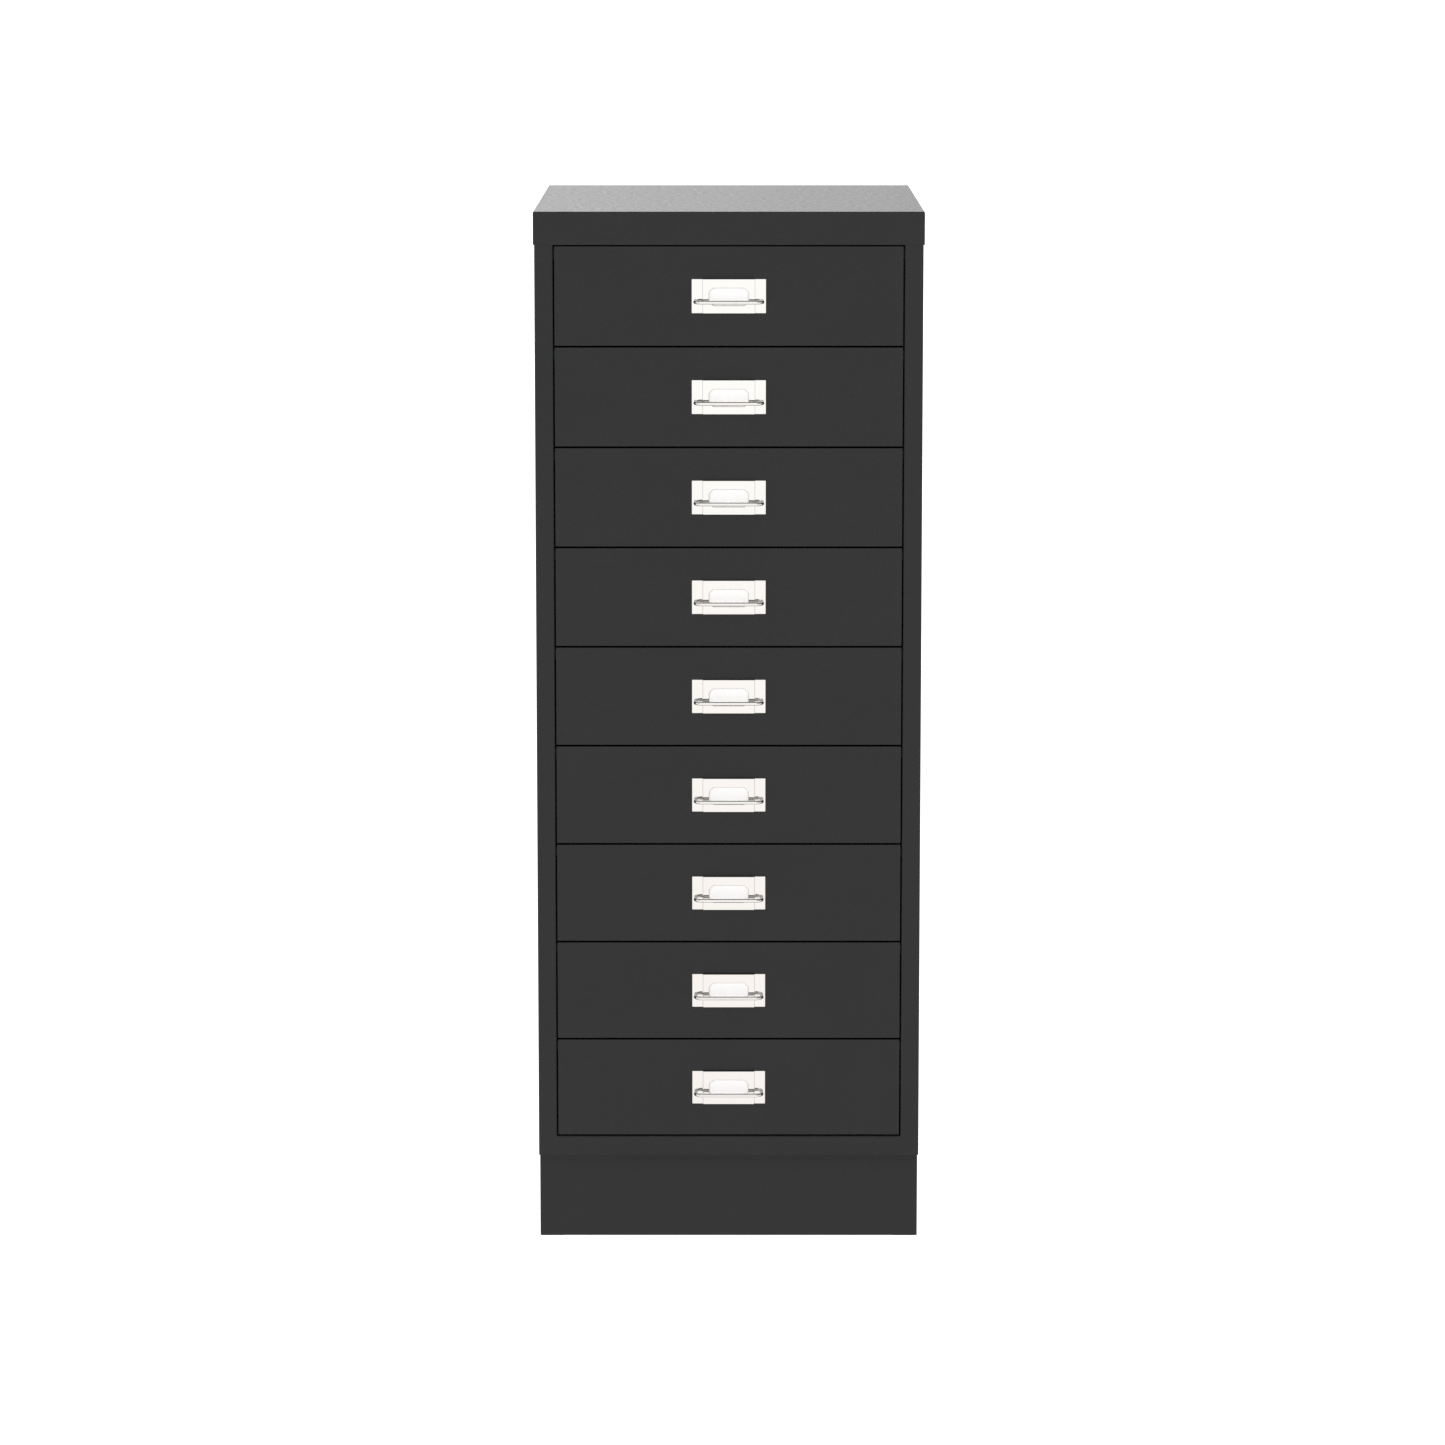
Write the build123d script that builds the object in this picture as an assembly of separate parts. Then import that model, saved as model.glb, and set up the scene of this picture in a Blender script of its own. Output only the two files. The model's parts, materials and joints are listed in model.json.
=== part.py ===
from build123d import *

import os

# A nine-drawer cabinet of folded sheet steel on a plinth, in millimetres.
# +Z is up, the drawers open towards -Y, and +X is to the right of someone facing them.
# The origin is on the floor, under the middle of the whole box, bow handles included.

# Cabinet
CAP_WIDTH = 349.0
CAP_DEPTH = 432.0
HEIGHT = 940.0
PLINTH_HEIGHT = 80.0
CAP_SKIRT = 29.5
CAP_OVERHANG = 1.0
STILE_WIDTH = 16.9
BOTTOM_RAIL = 18.0
FOLD_DEPTH = 15.0
BODY_SHEET = 1.0
BACK_SHEET = 0.8
EASED_EDGE = 1.2

# Drawers
DRAWER_COUNT = 9
DRAWER_SHEET = 0.8
FRONT_GAP = 1.5
END_GAP = 1.2
SIDE_GAP = 1.0
FRONT_THICKNESS = 6.5
FRONT_CORNER = 0.55
FRONT_EDGE = 0.5
TRAY_INNER_WIDTH = 297.2
TRAY_FLOOR_ABOVE_FRONT = 3.0
TRAY_TOP_ABOVE_FRONT = 82.0
TRAY_END_WALL_DROP = 4.0
FLANGE_WIDTH = 6.6
FLANGE_LIP = 4.4
DRAWER_TRAVEL = 330.0

# Runners
RUNNER_LEG = 5.5
RUNNER_CLEARANCE = 0.3
RUNNER_HEADROOM = 3.0
STOP_HEIGHT = 2.2
STOP_LENGTH = 6.0
LUG_LENGTH = 8.0
STOP_CLEARANCE = 0.5
RUNNER_FRONT_SETBACK = 8.0
RUNNER_BACK_SETBACK = 3.0
POST_DEPTH = 25.0
FRONT_POST_SETBACK = 29.0
BACK_POST_SETBACK = 10.0

# Card holder with its bow handle
PLATE_WIDTH = 66.1
PLATE_HEIGHT = 30.2
PLATE_SHEET = 0.7
PLATE_RAISED_WIDTH = 47.0
PLATE_RAISE = 2.4
PLATE_CORNER = 0.4
WINDOW_WIDTH = 36.0
WINDOW_HEIGHT = 16.2
WINDOW_CHAMFER = 3.9
WINDOW_CORNER = 2.2
WINDOW_BELOW_PLATE_TOP = 7.5
CARD_WIDTH = 44.6
CARD_HEIGHT = 28.6
CARD_THICKNESS = 0.4
CARD_CLEARANCE = 0.1
BOW_ROD = 3.3
BOW_LEG_SPACING = 60.0
BOW_BEND = 6.25
BOW_STANDOFF = 12.1
BOW_BELOW_PLATE_TOP = 19.9
RIVET_HEAD = 6.0
RIVET_HEAD_HEIGHT = 1.2

# Plinth
PLINTH_WIDTH = 346.0
PLINTH_RECESS = 16.0
PLINTH_BACK_INSET = 0.5
PLINTH_SHEET = 1.2
PLINTH_TOP_FLANGE = 25.0
PLINTH_FOOT_FLANGE = 22.0
BOLT_SPACING_X = 240.0
BOLT_INSET = 13.0
BOLT_SHANK = 6.0
BOLT_HOLE = 6.6
BOLT_ACROSS_FLATS = 10.0
BOLT_HEAD = 4.0
BOLT_NUT = 5.0
BOLT_END = 1.5

# Places worked out from the sizes above
body_width = CAP_WIDTH - 2 * CAP_OVERHANG
opening_width = body_width - 2 * STILE_WIDTH
front_width = opening_width - 2 * SIDE_GAP
handle_projection = BOW_STANDOFF + BOW_ROD / 2 + PLATE_SHEET - CAP_OVERHANG
overall_depth = CAP_DEPTH + handle_projection
cap_front = -overall_depth / 2 + handle_projection
cap_back = overall_depth / 2
body_front = cap_front + CAP_OVERHANG
body_back = cap_back - CAP_OVERHANG
shell_back = body_back - BACK_SHEET
opening_bottom = PLINTH_HEIGHT + BOTTOM_RAIL
opening_top = HEIGHT - CAP_SKIRT
opening_height = opening_top - opening_bottom
gaps_total = (DRAWER_COUNT - 1) * FRONT_GAP + 2 * END_GAP
front_height = (opening_height - gaps_total) / DRAWER_COUNT
drawer_pitch = front_height + FRONT_GAP
top_front_bottom = opening_top - END_GAP - front_height
tray_front = body_front + FRONT_THICKNESS
tray_back = shell_back - BODY_SHEET
runner_web_x = opening_width / 2 - DRAWER_SHEET
runner_front = body_front + RUNNER_FRONT_SETBACK
runner_back = shell_back - RUNNER_BACK_SETBACK
plate_face = body_front - PLATE_SHEET
raised_face = plate_face - PLATE_RAISE


def block(x_range, y_range, z_range):
    """A box between two values along each axis."""
    size = [high - low for low, high in (x_range, y_range, z_range)]
    middle = [(high + low) / 2 for low, high in (x_range, y_range, z_range)]
    return Pos(*middle) * Box(*size)


def fold(path, thickness, bend=0.8):
    """The section of a folded strip whose sheet lies on the right-hand side of its path."""
    points = [Vector(*point) for point in path]
    ways = [(b - a).normalized() for a, b in zip(points, points[1:])]
    rights = [Vector(way.Y, -way.X) for way in ways]
    far_side = [points[0] + rights[0] * thickness]
    for point, before, after in zip(points[1:], rights, rights[1:]):
        far_side.append(point + (before + after) * thickness)
    far_side.append(points[-1] + rights[-1] * thickness)
    section = make_face(Polyline(*points, *reversed(far_side), close=True))
    for index in range(1, len(path) - 1):
        turns_left = ways[index - 1].cross(ways[index]).Z > 0
        near_radius = bend if turns_left else bend + thickness
        far_radius = bend + thickness if turns_left else bend
        for corner, radius in ((points[index], near_radius), (far_side[index], far_radius)):
            section = fillet(section.vertices().sort_by_distance(corner)[0], radius)
    return section


def along_x(section, start, end):
    """A (y, z) section drawn out along X."""
    return extrude(Plane.YZ.offset(start) * section, amount=end - start)


def along_y(section, start, end):
    """An (x, z) section drawn out along Y."""
    return extrude(Plane.XZ.offset(-end) * section, amount=end - start)


def along_z(section, start, end):
    """An (x, y) section drawn out along Z."""
    return extrude(Plane.XY.offset(start) * section, amount=end - start)


def other_side(left_part):
    """The same part on the right-hand side of the cabinet."""
    return mirror(left_part, about=Plane.YZ)


def drawer_bottom(number):
    """Height of the lower edge of a drawer front; drawer 1 is the top one."""
    return top_front_bottom - (number - 1) * drawer_pitch


def top_cover():
    """The cap: a shallow lid with a skirt all round, over the shell's upper edge."""
    width = (-CAP_WIDTH / 2, CAP_WIDTH / 2)
    lid = block(width, (cap_front, cap_back), (opening_top, HEIGHT))
    lid = fillet(lid.edges().filter_by(Axis.Z), EASED_EDGE)
    lid = fillet(lid.faces().sort_by(Axis.Z)[-1].edges(), EASED_EDGE)
    inner_width = (-body_width / 2, body_width / 2)
    return lid - block(inner_width, (body_front, body_back), (opening_top, HEIGHT - BODY_SHEET))


def left_side_panel():
    """Side wall with its rear flange and the stile, which turns in along the opening."""
    side = -body_width / 2
    stile_edge = -opening_width / 2
    rear_edge = side + FOLD_DEPTH
    rear = [(side, body_front), (side, shell_back), (rear_edge, shell_back)]
    turned_in = (stile_edge, body_front + FOLD_DEPTH)
    with_return = fold([turned_in, (stile_edge, body_front), *rear], BODY_SHEET)
    flat_stile = fold([(stile_edge, body_front), *rear], BODY_SHEET)
    panel = along_z(flat_stile, PLINTH_HEIGHT, opening_bottom)
    panel += along_z(with_return, opening_bottom, opening_top)
    return panel + along_z(flat_stile, opening_top, HEIGHT - BODY_SHEET)


def back_panel():
    """Flat sheet on the side panels' rear flanges."""
    width = (-body_width / 2, body_width / 2)
    return block(width, (shell_back, body_back), (PLINTH_HEIGHT, HEIGHT - BODY_SHEET))


def level_sheet(bottom):
    """A level sheet that fills the shell from side wall to side wall, with eased corners."""
    reach = body_width / 2 - BODY_SHEET
    depth = (body_front + BODY_SHEET, shell_back - BODY_SHEET)
    sheet = block((-reach, reach), depth, (bottom, bottom + BODY_SHEET))
    return fillet(sheet.edges().filter_by(Axis.Z), EASED_EDGE)


def top_frame():
    """The shell's own top under the cap, folded down in front as a cross rail."""
    top = HEIGHT - BODY_SHEET
    inside = opening_width / 2
    cross_rail = [
        (body_front + FOLD_DEPTH, opening_top),
        (body_front, opening_top),
        (body_front, top),
    ]
    rail = along_x(fold(cross_rail, BODY_SHEET), -inside, inside)
    return rail + level_sheet(top - BODY_SHEET)


def base_panel():
    """The shell's floor, folded up in front as the bottom rail."""
    inside = opening_width / 2
    bottom_rail = [
        (body_front, PLINTH_HEIGHT),
        (body_front, opening_bottom),
        (body_front + FOLD_DEPTH, opening_bottom),
    ]
    rail = along_x(fold(bottom_rail, BODY_SHEET), -inside, inside)
    panel = rail + level_sheet(PLINTH_HEIGHT)
    for x, y in bolt_places():
        panel -= Pos(x, y, PLINTH_HEIGHT) * Cylinder(BOLT_HOLE / 2, 4 * BODY_SHEET)
    return panel


def bolt_places():
    """The four plinth bolts, seen from above."""
    front_row = body_front + PLINTH_RECESS + BOLT_INSET
    back_row = body_back - PLINTH_BACK_INSET - BOLT_INSET
    return [
        (side * BOLT_SPACING_X / 2, row) for row in (front_row, back_row) for side in (-1, 1)
    ]


def left_runner_posts():
    """Front and back upright channels between the side wall and the runners."""
    wall = -body_width / 2 + BODY_SHEET
    web = -opening_width / 2
    low = PLINTH_HEIGHT + BODY_SHEET
    high = HEIGHT - 2 * BODY_SHEET
    posts = []
    front_post = body_front + FRONT_POST_SETBACK
    back_post = shell_back - BACK_POST_SETBACK - POST_DEPTH
    for start in (front_post, back_post):
        channel = [
            (web, start + POST_DEPTH),
            (web, start),
            (wall, start),
            (wall, start + POST_DEPTH),
        ]
        posts.append(along_z(fold(channel, BODY_SHEET), low, high))
    return Compound(children=posts)


def left_runner(number):
    """The channel that holds one drawer's left flange, with its pressed stop."""
    bottom = drawer_bottom(number)
    upper = bottom + TRAY_TOP_ABOVE_FRONT + RUNNER_HEADROOM
    lower = bottom + TRAY_TOP_ABOVE_FRONT - FLANGE_LIP - RUNNER_CLEARANCE
    tip = -runner_web_x + RUNNER_LEG
    channel = [(tip, upper), (-runner_web_x, upper), (-runner_web_x, lower), (tip, lower)]
    runner = along_y(fold(channel, DRAWER_SHEET), runner_front, runner_back)
    stop_back = tray_back - LUG_LENGTH - DRAWER_TRAVEL - STOP_CLEARANCE
    stop = block(
        (-runner_web_x, tip),
        (stop_back - STOP_LENGTH, stop_back),
        (upper - STOP_HEIGHT, upper),
    )
    return runner + stop


def left_runners():
    """All the left-hand runners, one separate channel for each drawer."""
    return Compound(children=[left_runner(number) for number in range(1, DRAWER_COUNT + 1)])


def plinth_end_rail(outer, inward):
    """The plinth's front or back rail; inward is +1 for the front one and -1 for the back."""
    foot = outer + inward * PLINTH_FOOT_FLANGE
    top = outer + inward * PLINTH_TOP_FLANGE
    path = [(foot, 0), (outer, 0), (outer, PLINTH_HEIGHT), (top, PLINTH_HEIGHT)]
    if inward < 0:
        path.reverse()
    half = PLINTH_WIDTH / 2
    rail = along_x(fold(path, PLINTH_SHEET), -half, half)
    inner_face = outer + inward * PLINTH_SHEET
    beyond = outer + inward * 2 * PLINTH_TOP_FLANGE
    depth = (min(inner_face, beyond), max(inner_face, beyond))
    for side in (-1, 1):
        ends = sorted((side * half, side * (half - PLINTH_TOP_FLANGE)))
        rail -= block(ends, depth, (0, PLINTH_HEIGHT))
    for x, y in bolt_places():
        rail -= Pos(x, y, PLINTH_HEIGHT) * Cylinder(BOLT_HOLE / 2, 4 * PLINTH_SHEET)
    return rail


def plinth_left_rail():
    """The plinth's left rail, which butts on the insides of the front and back ones."""
    side = -PLINTH_WIDTH / 2
    foot = side + PLINTH_FOOT_FLANGE
    top = side + PLINTH_TOP_FLANGE
    path = [(top, PLINTH_HEIGHT), (side, PLINTH_HEIGHT), (side, 0), (foot, 0)]
    path.reverse()
    start = body_front + PLINTH_RECESS + PLINTH_SHEET
    end = body_back - PLINTH_BACK_INSET - PLINTH_SHEET
    return along_y(fold(path, PLINTH_SHEET), start, end)


def plinth_bolts():
    """Four hexagon bolts up through the plinth's top flange and the shell's floor, with nuts."""
    flange_under = PLINTH_HEIGHT - PLINTH_SHEET
    floor_top = PLINTH_HEIGHT + BODY_SHEET
    hexagon = RegularPolygon(BOLT_ACROSS_FLATS / 2, 6, major_radius=False)
    shank_top = floor_top + BOLT_NUT + BOLT_END
    bolt = along_z(hexagon, flange_under - BOLT_HEAD, flange_under)
    bolt += along_z(Circle(BOLT_SHANK / 2), flange_under, shank_top)
    bolt += along_z(hexagon, floor_top, floor_top + BOLT_NUT)
    return Compound(children=[Pos(x, y, 0) * bolt for x, y in bolt_places()])


def bow_height(number):
    """Height of a drawer's bow handle; its plate is in the middle of the front."""
    plate_top = drawer_bottom(number) + front_height / 2 + PLATE_HEIGHT / 2
    return plate_top - BOW_BELOW_PLATE_TOP


def leg_holes(number):
    """Cutters for the bow handle's two legs."""
    cutters = [
        Pos(side * BOW_LEG_SPACING / 2, body_front, bow_height(number))
        * Rot(90, 0, 0)
        * Cylinder(BOW_ROD / 2, 4 * PLATE_RAISE)
        for side in (-1, 1)
    ]
    return cutters[0] + cutters[1]


def drawer_front(number):
    """The visible front: a shallow pan, open at the back where the tray closes it."""
    bottom = drawer_bottom(number)
    half = front_width / 2
    depth = (body_front, tray_front)
    pan = block((-half, half), depth, (bottom, bottom + front_height))
    pan = fillet(pan.edges().filter_by(Axis.Y), FRONT_CORNER)
    pan = fillet(pan.faces().sort_by(Axis.Y)[0].edges(), FRONT_EDGE)
    inner = half - DRAWER_SHEET
    pan -= block(
        (-inner, inner),
        (body_front + DRAWER_SHEET, tray_front),
        (bottom + DRAWER_SHEET, bottom + front_height - DRAWER_SHEET),
    )
    return pan - leg_holes(number)


def drawer_tray(number):
    """Folded tray whose sides turn out and down at the top, to hang in the runners."""
    floor = drawer_bottom(number) + TRAY_FLOOR_ABOVE_FRONT
    top = drawer_bottom(number) + TRAY_TOP_ABOVE_FRONT
    inner = TRAY_INNER_WIDTH / 2
    outer = inner + FLANGE_WIDTH
    half_section = [(inner, floor), (inner, top), (outer, top), (outer, top - FLANGE_LIP)]
    mirrored = [(-x, z) for x, z in reversed(half_section)]
    tray = along_y(fold(mirrored + half_section, DRAWER_SHEET), tray_front, tray_back)
    end_wall_inside = (-inner - DRAWER_SHEET / 2, inner + DRAWER_SHEET / 2)
    end_wall_height = (floor - DRAWER_SHEET / 2, top - TRAY_END_WALL_DROP)
    for start in (tray_front, tray_back - DRAWER_SHEET):
        tray += block(end_wall_inside, (start, start + DRAWER_SHEET), end_wall_height)
    lug_width = sorted((inner + DRAWER_SHEET, outer - DRAWER_SHEET / 2))
    for side in (-1, 1):
        lug = sorted(side * x for x in lug_width)
        tray += block(lug, (tray_back - LUG_LENGTH, tray_back), (top, top + STOP_HEIGHT))
    return tray


def card_holder(number):
    """Pressed plate: its middle stands forward over the card and has an eight-sided window."""
    plate_bottom = drawer_bottom(number) + front_height / 2 - PLATE_HEIGHT / 2
    plate_top = plate_bottom + PLATE_HEIGHT
    half = PLATE_WIDTH / 2
    step = PLATE_RAISED_WIDTH / 2
    path = [
        (half, plate_face),
        (step, plate_face),
        (step, raised_face),
        (-step, raised_face),
        (-step, plate_face),
        (-half, plate_face),
    ]
    plate = along_z(fold(path, PLATE_SHEET, bend=0.5), plate_bottom, plate_top)
    outline = Rectangle(PLATE_WIDTH, PLATE_HEIGHT)
    outline = fillet(outline.vertices(), PLATE_CORNER)
    outline = Pos(0, (plate_bottom + plate_top) / 2) * outline
    plate &= along_y(outline, raised_face - 1, body_front + 1)
    window = Rectangle(WINDOW_WIDTH, WINDOW_HEIGHT)
    window = chamfer(window.vertices(), WINDOW_CHAMFER)
    window = fillet(window.vertices(), WINDOW_CORNER)
    window = Pos(0, plate_top - WINDOW_BELOW_PLATE_TOP - WINDOW_HEIGHT / 2) * window
    plate -= along_y(window, raised_face - 1, body_front)
    return plate - leg_holes(number)


def bow_handle(number):
    """Bent rod whose legs go through the plate and the front and are headed over behind it."""
    height = bow_height(number)
    half = BOW_LEG_SPACING / 2
    bar = plate_face - BOW_STANDOFF
    head_start = body_front + DRAWER_SHEET
    leg_end = head_start + RIVET_HEAD_HEIGHT
    route = FilletPolyline(
        (-half, leg_end, height),
        (-half, bar, height),
        (half, bar, height),
        (half, leg_end, height),
        radius=BOW_BEND,
    )
    rod = sweep(Plane(origin=route @ 0, z_dir=route % 0) * Circle(BOW_ROD / 2), path=route)
    for side in (-1, 1):
        head = Pos(side * half, height) * Circle(RIVET_HEAD / 2)
        rod += along_y(head, head_start, leg_end)
    return rod


def card(number):
    """The label card, just behind the window."""
    middle = drawer_bottom(number) + front_height / 2
    card_front = raised_face + PLATE_SHEET + CARD_CLEARANCE
    return block(
        (-CARD_WIDTH / 2, CARD_WIDTH / 2),
        (card_front, card_front + CARD_THICKNESS),
        (middle - CARD_HEIGHT / 2, middle + CARD_HEIGHT / 2),
    )


def all_parts():
    """Every node's name with its shape."""
    parts = {
        "top_cover": top_cover(),
        "top_frame": top_frame(),
        "back_panel": back_panel(),
        "base_panel": base_panel(),
        "plinth_front_rail": plinth_end_rail(body_front + PLINTH_RECESS, 1),
        "plinth_back_rail": plinth_end_rail(body_back - PLINTH_BACK_INSET, -1),
        "plinth_bolts": plinth_bolts(),
    }
    sided = {
        "side_panel": left_side_panel(),
        "runner_posts": left_runner_posts(),
        "runners": left_runners(),
        "plinth_rail": plinth_left_rail(),
    }
    for name, part in sided.items():
        parts["left_" + name] = part
        parts["right_" + name] = other_side(part)
    for number in range(1, DRAWER_COUNT + 1):
        drawer = f"drawer_{number}_"
        parts[drawer + "front"] = drawer_front(number)
        parts[drawer + "tray"] = drawer_tray(number)
        parts[drawer + "card_holder"] = card_holder(number)
        parts[drawer + "bow_handle"] = bow_handle(number)
        parts[drawer + "card"] = card(number)
    return parts


os.makedirs("parts", exist_ok=True)
for node, shape in all_parts().items():
    export_step(shape, f"parts/{node}.step")
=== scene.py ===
"""Looks of the nine-drawer steel cabinet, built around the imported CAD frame. Metres, +Z up."""

import json
import math

import bmesh
import bpy
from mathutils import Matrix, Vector

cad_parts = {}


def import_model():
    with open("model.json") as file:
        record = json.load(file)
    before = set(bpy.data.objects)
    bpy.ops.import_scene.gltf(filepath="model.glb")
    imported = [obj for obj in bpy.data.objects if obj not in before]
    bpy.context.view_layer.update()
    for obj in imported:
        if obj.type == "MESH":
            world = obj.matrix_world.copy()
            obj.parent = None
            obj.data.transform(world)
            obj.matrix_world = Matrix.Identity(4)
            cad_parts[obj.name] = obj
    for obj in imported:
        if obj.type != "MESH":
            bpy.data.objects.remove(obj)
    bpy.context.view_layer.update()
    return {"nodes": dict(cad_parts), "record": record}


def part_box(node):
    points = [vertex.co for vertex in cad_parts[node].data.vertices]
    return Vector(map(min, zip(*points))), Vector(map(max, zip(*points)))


MM = 0.001

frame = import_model()
nodes = frame["nodes"]

# Camera, read from the perspective of the photograph
CAMERA_SIDE = -2.8 * MM
CAMERA_DISTANCE = 4668.0 * MM
CAMERA_HEIGHT = 1219.0 * MM
CAMERA_PITCH = math.radians(8.99)
CAMERA_YAW = math.radians(0.035)
CAMERA_LENS = 130.5
CAMERA_SENSOR = 36.0
CAMERA_REACH = 1000.0

# Powder coat: colours, gloss, and how wide and deep its unevenness is
COAT_DARK = (0.0135, 0.0141, 0.0143)
COAT_LIGHT = (0.0163, 0.0169, 0.0172)
COAT_CLOUD = 60 * MM
COAT_FLECK = 5 * MM
COAT_GLOSSY = 0.15
COAT_DULL = 0.44
COAT_SPECULAR = 0.19
COAT_GRAIN = 0.9 * MM
COAT_GRAIN_DEPTH = 0.035 * MM
COAT_PEEL = 3.5 * MM
COAT_PEEL_DEPTH = 0.12 * MM
COAT_BUMP_STRENGTH = 0.8

# Nickel plating of card holders and bows
NICKEL_DARK = (0.613, 0.607, 0.581)
NICKEL_LIGHT = (0.621, 0.615, 0.591)
NICKEL_CLOUD = 8 * MM
NICKEL_GLOSSY = 0.012
NICKEL_DULL = 0.035
NICKEL_BUMP_DEPTH = 0.002 * MM
NICKEL_BUMP_STRENGTH = 0.2

# Label cards
CARD_DARK = (0.89, 0.89, 0.88)
CARD_LIGHT = (0.91, 0.91, 0.9)
CARD_GRAIN_DIRECTION = (1.0, 1.0, 0.35)
CARD_FIBRE = 0.35 * MM
CARD_FIBRE_DEPTH = 0.03 * MM
CARD_FIBRE_STRENGTH = 0.5
CARD_BLOTCH = 6 * MM
CARD_ROUGHNESS = 0.85
CARD_SPECULAR = 0.3
# Painted shade: how far and how much the card's colour darkens near the holder's edge, standing in
# for its shadow
CARD_PAINTED_SHADE_REACH = 1.0 * MM
CARD_PAINTED_SHADE_DARKEST = 0.5

# Zinc plating of the plinth bolts
ZINC_DARK = (0.5, 0.51, 0.54)
ZINC_LIGHT = (0.68, 0.69, 0.71)
ZINC_SPANGLE = 1.5 * MM
ZINC_GLOSSY = 0.3
ZINC_DULL = 0.45

# Floor: its own colour, and its painted glow as radiance, dimmer and warmer near the cabinet as
# painted shade, and brighter far from it
FLOOR_HALF_SIZE = 200.0
FLOOR_CELLS = 8
FLOOR_DARK = (0.165, 0.165, 0.165)
FLOOR_LIGHT = (0.175, 0.175, 0.175)
FLOOR_CLOUD = 2.0
FLOOR_ROUGHNESS = 0.9
FLOOR_NEAR_GLOW = (1.39, 1.335, 1.335)
FLOOR_FAR_GLOW = (1.48, 1.48, 1.48)
FLOOR_NEAR = 2.0
FLOOR_FAR = 8.0

# Walls and ceiling: radiance, and where and how much it falls off, by the direction looked in
WALLS = 1.15
SIDE_START = 0.15
SIDE_DIM = 0.25
FRONT_START = 0.0
FRONT_END = -0.6
FRONT_DIM = 0.65
CEILING_START = 0.7
CEILING_END = 0.88
CEILING_DIM = 0.4

# Lights, with brightness in watts a square metre
BANK_STRIPS = 8
BANK_STRIP_WIDTH = 0.2
BANK_LEFT = -1.25
BANK_DISTANCE = 3.0
BANK_HEIGHT = 2.0
BANK_TALL = 1.6
BANK_BRIGHTNESS = 3.0
FRONT_LIGHT_PLACE = (-0.6, -4.2, 2.9)
FRONT_LIGHT_AIM = (0.0, 0.0, 0.5)
FRONT_LIGHT_WIDTH = 5.0
FRONT_LIGHT_TALL = 1.8
FRONT_LIGHT_BRIGHTNESS = 5.4

# Occlusion at the foot of a wall, where half of what a surface faces is hidden
HALF_HIDDEN = 0.5


# ---------------------------------------------------------------- node helpers


def new_material(name):
    """A node material with only a Principled shader; returns the material, its tree and shader."""
    material = bpy.data.materials.new(name)
    material.use_nodes = True
    tree = material.node_tree
    tree.nodes.clear()
    output = tree.nodes.new("ShaderNodeOutputMaterial")
    shader = tree.nodes.new("ShaderNodeBsdfPrincipled")
    tree.links.new(shader.outputs["BSDF"], output.inputs["Surface"])
    return material, tree, shader


def object_coordinates(tree, scale=(1.0, 1.0, 1.0)):
    """Texture coordinates in metres along the object, multiplied by scale."""
    coordinates = tree.nodes.new("ShaderNodeTexCoord")
    mapping = tree.nodes.new("ShaderNodeMapping")
    mapping.inputs["Scale"].default_value = scale
    tree.links.new(coordinates.outputs["Object"], mapping.inputs["Vector"])
    return mapping.outputs["Vector"]


def noise(tree, vector, size, detail=2.0, roughness=0.5):
    """Noise whose features are about size metres across."""
    node = tree.nodes.new("ShaderNodeTexNoise")
    node.inputs["Scale"].default_value = 1.0 / size
    node.inputs["Detail"].default_value = detail
    node.inputs["Roughness"].default_value = roughness
    tree.links.new(vector, node.inputs["Vector"])
    return node.outputs["Fac"]


def ramp(tree, value, low, high, start=0.0):
    """Maps start..1 evenly to low..high."""
    node = tree.nodes.new("ShaderNodeMapRange")
    node.inputs["From Min"].default_value = start
    node.inputs["To Min"].default_value = low
    node.inputs["To Max"].default_value = high
    tree.links.new(value, node.inputs["Value"])
    return node.outputs["Result"]


def graded(tree, value, start, end, low, high):
    """A soft step from low to high as value goes from start to end."""
    node = tree.nodes.new("ShaderNodeMapRange")
    node.interpolation_type = "SMOOTHSTEP"
    node.inputs["From Min"].default_value = start
    node.inputs["From Max"].default_value = end
    node.inputs["To Min"].default_value = low
    node.inputs["To Max"].default_value = high
    tree.links.new(value, node.inputs["Value"])
    return node.outputs["Result"]


def multiplied(tree, first, second):
    """The product of two numbers."""
    node = tree.nodes.new("ShaderNodeMath")
    node.operation = "MULTIPLY"
    tree.links.new(first, node.inputs[0])
    tree.links.new(second, node.inputs[1])
    return node.outputs["Value"]


def colour_mix(tree, value, low, high):
    """Blends two colours by a 0..1 value."""
    node = tree.nodes.new("ShaderNodeMix")
    node.data_type = "RGBA"
    node.inputs["A"].default_value = (*low, 1.0)
    node.inputs["B"].default_value = (*high, 1.0)
    tree.links.new(value, node.inputs["Factor"])
    return node.outputs["Result"]


def scaled_colour(tree, colour, amount):
    """The colour times a number."""
    node = tree.nodes.new("ShaderNodeVectorMath")
    node.operation = "SCALE"
    tree.links.new(colour, node.inputs[0])
    tree.links.new(amount, node.inputs["Scale"])
    return node.outputs["Vector"]


def painted_corner_shade(tree, reach, darkest):
    """A painted shade factor for a colour: one in the open, and down to darkest where another
    surface is within reach.
    """
    corner = tree.nodes.new("ShaderNodeAmbientOcclusion")
    corner.inputs["Distance"].default_value = reach
    return ramp(tree, corner.outputs["AO"], darkest, 1.0, start=HALF_HIDDEN)


def bump(tree, height, depth, strength, below=None):
    """Bumps of the given depth in metres, on top of an earlier bump if there is one."""
    node = tree.nodes.new("ShaderNodeBump")
    node.inputs["Distance"].default_value = depth
    node.inputs["Strength"].default_value = strength
    tree.links.new(height, node.inputs["Height"])
    if below is not None:
        tree.links.new(below, node.inputs["Normal"])
    return node.outputs["Normal"]


# ------------------------------------------------------------------- materials


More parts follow.
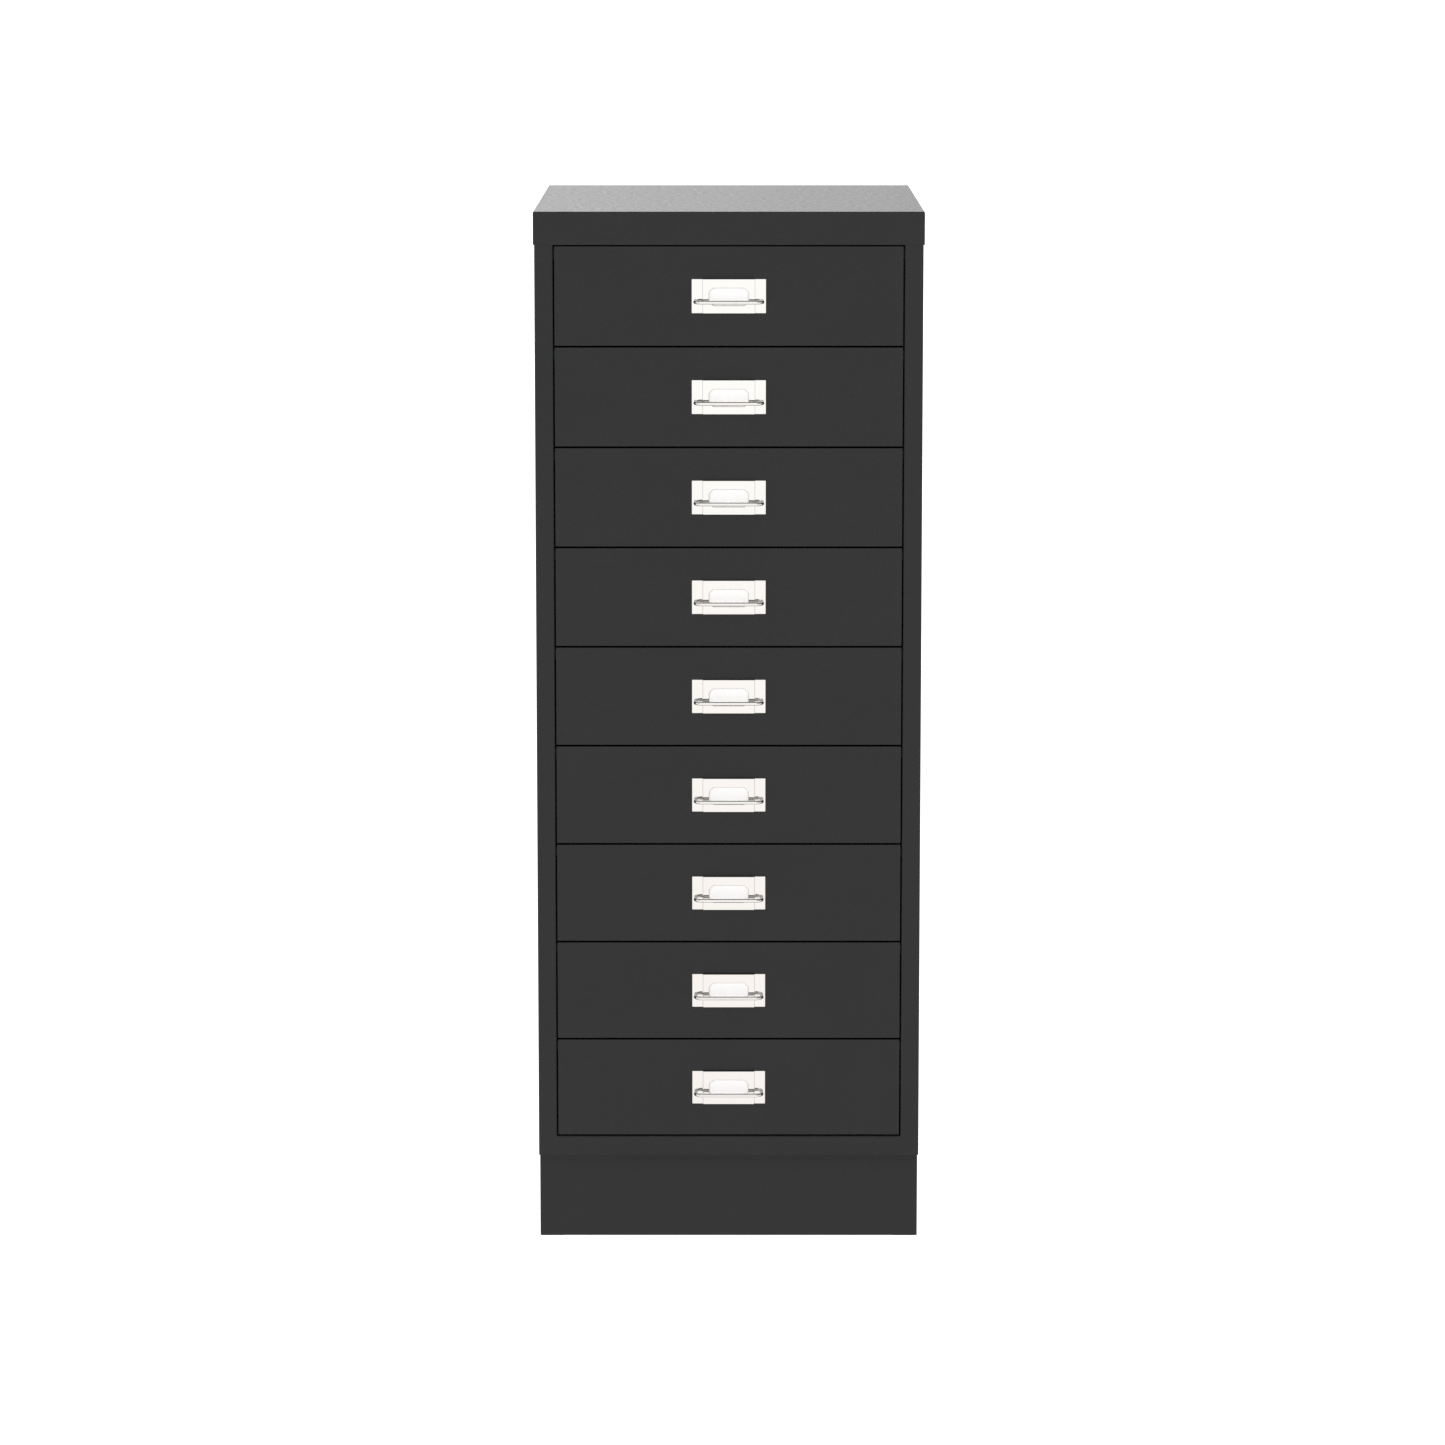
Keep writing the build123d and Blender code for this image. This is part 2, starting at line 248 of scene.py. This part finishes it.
def powder_coat():
    """Near-black powder coat: fine grain and orange peel, clouds of tone and flecks of sheen."""
    material, tree, shader = new_material("powder_coat")
    vector = object_coordinates(tree)
    clouds = noise(tree, vector, COAT_CLOUD, detail=3.0)
    grain = noise(tree, vector, COAT_GRAIN, detail=2.0, roughness=0.6)
    peel = noise(tree, vector, COAT_PEEL, detail=1.0)
    flecks = noise(tree, vector, COAT_FLECK, detail=3.0, roughness=0.6)
    tone = colour_mix(tree, clouds, COAT_DARK, COAT_LIGHT)
    tree.links.new(tone, shader.inputs["Base Color"])
    tree.links.new(ramp(tree, flecks, COAT_GLOSSY, COAT_DULL), shader.inputs["Roughness"])
    shader.inputs["Specular IOR Level"].default_value = COAT_SPECULAR
    normal = bump(tree, grain, COAT_GRAIN_DEPTH, COAT_BUMP_STRENGTH)
    normal = bump(tree, peel, COAT_PEEL_DEPTH, COAT_BUMP_STRENGTH, normal)
    tree.links.new(normal, shader.inputs["Normal"])
    return material


def nickel_plate():
    """Bright warm plating with a faint unevenness in its polish."""
    material, tree, shader = new_material("nickel_plate")
    vector = object_coordinates(tree)
    clouds = noise(tree, vector, NICKEL_CLOUD, detail=3.0)
    tone = colour_mix(tree, clouds, NICKEL_DARK, NICKEL_LIGHT)
    tree.links.new(tone, shader.inputs["Base Color"])
    shader.inputs["Metallic"].default_value = 1.0
    tree.links.new(ramp(tree, clouds, NICKEL_GLOSSY, NICKEL_DULL), shader.inputs["Roughness"])
    normal = bump(tree, clouds, NICKEL_BUMP_DEPTH, NICKEL_BUMP_STRENGTH)
    tree.links.new(normal, shader.inputs["Normal"])
    return material


def label_card():
    """White card with fine fibres, with painted shade darkening its colour along the edge of the
    holder's window.
    """
    material, tree, shader = new_material("label_card")
    vector = object_coordinates(tree, CARD_GRAIN_DIRECTION)
    fibres = noise(tree, vector, CARD_FIBRE, detail=4.0, roughness=0.7)
    blotches = noise(tree, vector, CARD_BLOTCH, detail=2.0)
    tone = colour_mix(tree, blotches, CARD_DARK, CARD_LIGHT)
    # Painted shade: occlusion by the holder's edge darkens the card's colour
    shade = painted_corner_shade(tree, CARD_PAINTED_SHADE_REACH, CARD_PAINTED_SHADE_DARKEST)
    tree.links.new(scaled_colour(tree, tone, shade), shader.inputs["Base Color"])
    shader.inputs["Roughness"].default_value = CARD_ROUGHNESS
    shader.inputs["Specular IOR Level"].default_value = CARD_SPECULAR
    normal = bump(tree, fibres, CARD_FIBRE_DEPTH, CARD_FIBRE_STRENGTH)
    tree.links.new(normal, shader.inputs["Normal"])
    return material


def zinc_plate():
    """Dull bright zinc of the bolts, with its fine spangle."""
    material, tree, shader = new_material("zinc_plate")
    vector = object_coordinates(tree)
    cells = tree.nodes.new("ShaderNodeTexVoronoi")
    cells.inputs["Scale"].default_value = 1.0 / ZINC_SPANGLE
    tree.links.new(vector, cells.inputs["Vector"])
    spangle = cells.outputs["Distance"]
    tone = colour_mix(tree, spangle, ZINC_DARK, ZINC_LIGHT)
    tree.links.new(tone, shader.inputs["Base Color"])
    shader.inputs["Metallic"].default_value = 1.0
    tree.links.new(ramp(tree, spangle, ZINC_GLOSSY, ZINC_DULL), shader.inputs["Roughness"])
    return material


def set_material(piece, material):
    """The piece's only material."""
    piece.data.materials.clear()
    piece.data.materials.append(material)


def dress_cad_nodes(materials):
    """Every CAD node gets the material of its slot in the record."""
    for entry in frame["record"]["subparts"]:
        set_material(nodes[entry["node"]], materials[entry["material_slot"]])


# ----------------------------------------------------------------------- stage


def floor():
    """A wide pale floor that runs to the horizon, with a painted glow that is warmer and dimmer
    near the cabinet as painted shade.
    """
    mesh = bpy.data.meshes.new("stage_floor")
    grid = bmesh.new()
    bmesh.ops.create_grid(
        grid, x_segments=FLOOR_CELLS, y_segments=FLOOR_CELLS, size=FLOOR_HALF_SIZE
    )
    grid.to_mesh(mesh)
    grid.free()
    piece = bpy.data.objects.new("stage_floor", mesh)
    bpy.context.scene.collection.objects.link(piece)
    material, tree, shader = new_material("stage_floor")
    vector = object_coordinates(tree)
    tone = colour_mix(tree, noise(tree, vector, FLOOR_CLOUD), FLOOR_DARK, FLOOR_LIGHT)
    tree.links.new(tone, shader.inputs["Base Color"])
    shader.inputs["Roughness"].default_value = FLOOR_ROUGHNESS
    shader.inputs["Specular IOR Level"].default_value = 0.0
    radius = tree.nodes.new("ShaderNodeVectorMath")
    radius.operation = "LENGTH"
    tree.links.new(vector, radius.inputs[0])
    # Painted shade: the floor's glow is dimmer and warmer near the cabinet
    away = graded(tree, radius.outputs["Value"], FLOOR_NEAR, FLOOR_FAR, 0.0, 1.0)
    painted_glow = colour_mix(tree, away, FLOOR_NEAR_GLOW, FLOOR_FAR_GLOW)
    tree.links.new(painted_glow, shader.inputs["Emission Color"])
    shader.inputs["Emission Strength"].default_value = 1.0
    set_material(piece, material)


def world():
    """A white studio, dimmer to the right, behind the camera and overhead."""
    surroundings = bpy.data.worlds.new("studio")
    bpy.context.scene.world = surroundings
    surroundings.use_nodes = True
    tree = surroundings.node_tree
    coordinates = tree.nodes.new("ShaderNodeTexCoord")
    split = tree.nodes.new("ShaderNodeSeparateXYZ")
    tree.links.new(coordinates.outputs["Generated"], split.inputs["Vector"])
    across = graded(tree, split.outputs["X"], SIDE_START, 1.0, WALLS, WALLS * SIDE_DIM)
    forward = graded(tree, split.outputs["Y"], FRONT_END, FRONT_START, FRONT_DIM, 1.0)
    upward = graded(tree, split.outputs["Z"], CEILING_START, CEILING_END, 1.0, CEILING_DIM)
    level = multiplied(tree, multiplied(tree, across, forward), upward)
    background = tree.nodes["Background"]
    background.inputs["Color"].default_value = (1.0, 1.0, 1.0, 1.0)
    tree.links.new(level, background.inputs["Strength"])


def panel_light(name, place, aim, width, height, brightness):
    """A soft rectangular studio light that the camera doesn't see."""
    data = bpy.data.lights.new(name, "AREA")
    data.shape = "RECTANGLE"
    data.size = width
    data.size_y = height
    data.energy = brightness * width * height
    piece = bpy.data.objects.new(name, data)
    piece.location = place
    piece.rotation_euler = (Vector(aim) - Vector(place)).to_track_quat("-Z", "Y").to_euler()
    piece.visible_camera = False
    bpy.context.scene.collection.objects.link(piece)


def light_bank():
    """Upright strips behind the cabinet, brighter towards the left, that the top reflects."""
    for index in range(BANK_STRIPS):
        x = BANK_LEFT + index * BANK_STRIP_WIDTH
        brightness = BANK_BRIGHTNESS * (1 - index / BANK_STRIPS)
        panel_light(
            f"light_bank_{index}",
            (x, BANK_DISTANCE, BANK_HEIGHT),
            (x, 0.0, BANK_HEIGHT),
            BANK_STRIP_WIDTH,
            BANK_TALL,
            brightness,
        )


def front_light():
    """A wide soft light over the camera."""
    panel_light(
        "light_front",
        FRONT_LIGHT_PLACE,
        FRONT_LIGHT_AIM,
        FRONT_LIGHT_WIDTH,
        FRONT_LIGHT_TALL,
        FRONT_LIGHT_BRIGHTNESS,
    )


def camera():
    """The photograph's viewpoint: straight in front, a little above the cabinet."""
    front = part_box("top_cover")[0].y
    data = bpy.data.cameras.new("camera")
    data.sensor_width = CAMERA_SENSOR
    data.lens = CAMERA_LENS
    data.clip_end = CAMERA_REACH
    piece = bpy.data.objects.new("camera", data)
    piece.location = (CAMERA_SIDE, front - CAMERA_DISTANCE, CAMERA_HEIGHT)
    piece.rotation_euler = (math.pi / 2 - CAMERA_PITCH, 0.0, CAMERA_YAW)
    bpy.context.scene.collection.objects.link(piece)
    bpy.context.scene.camera = piece


dress_cad_nodes(
    {
        "powder_coat": powder_coat(),
        "nickel_plate": nickel_plate(),
        "label_card": label_card(),
        "zinc_plate": zinc_plate(),
    }
)
world()
floor()
camera()
light_bank()
front_light()
bpy.context.scene.view_settings.view_transform = "Standard"
